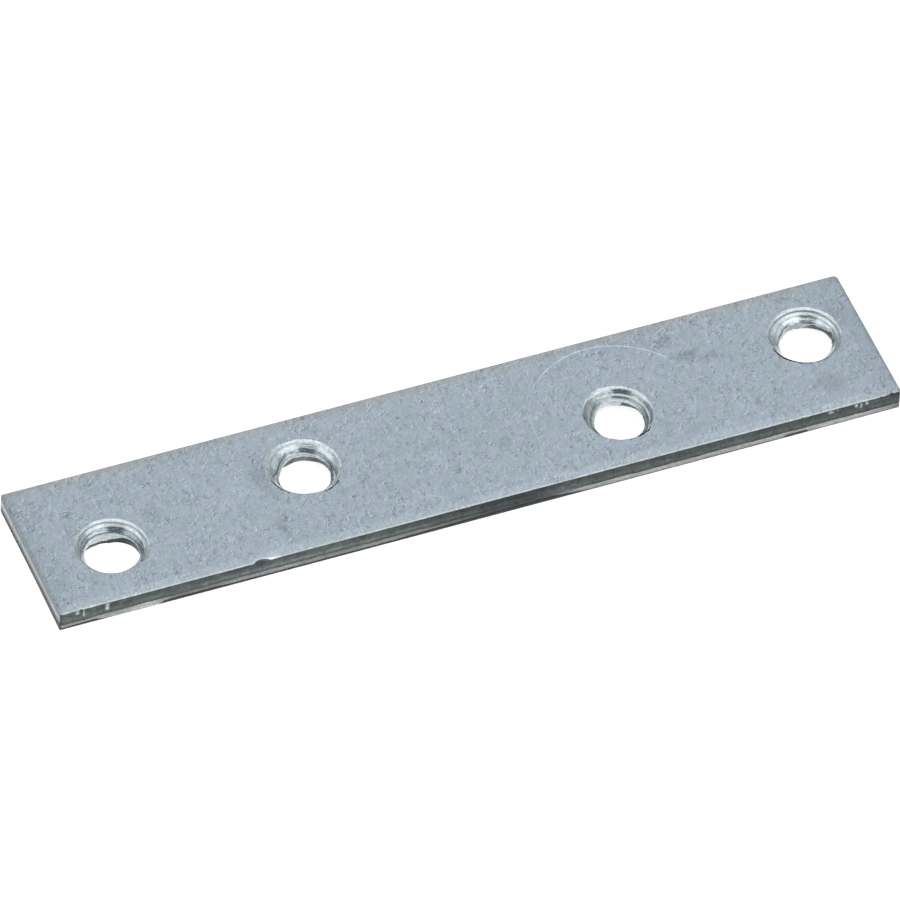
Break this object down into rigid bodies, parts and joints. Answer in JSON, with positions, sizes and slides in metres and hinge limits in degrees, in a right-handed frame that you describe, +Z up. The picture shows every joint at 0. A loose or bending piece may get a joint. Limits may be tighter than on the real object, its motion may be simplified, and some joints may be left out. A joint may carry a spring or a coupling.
{
  "type": "mending plate",
  "caption": "Flat sheared steel strip with countersunk screw holes in a zigzag, for joining or repairing timber.",
  "frame": {"origin": "middle of the underside", "axes": "+X along the length, +Y across the width, +Z up out of the countersunk face"},
  "size_m": [0.1016, 0.019, 0.0027],
  "materials": {
    "zinc_plate": "blue-white bright zinc plating on cold-rolled steel, satin, with fine mottling and handling scratches"
  },
  "bodies": {
    "root": {"mending_plate": "zinc_plate"}
  },
  "joints": []
}
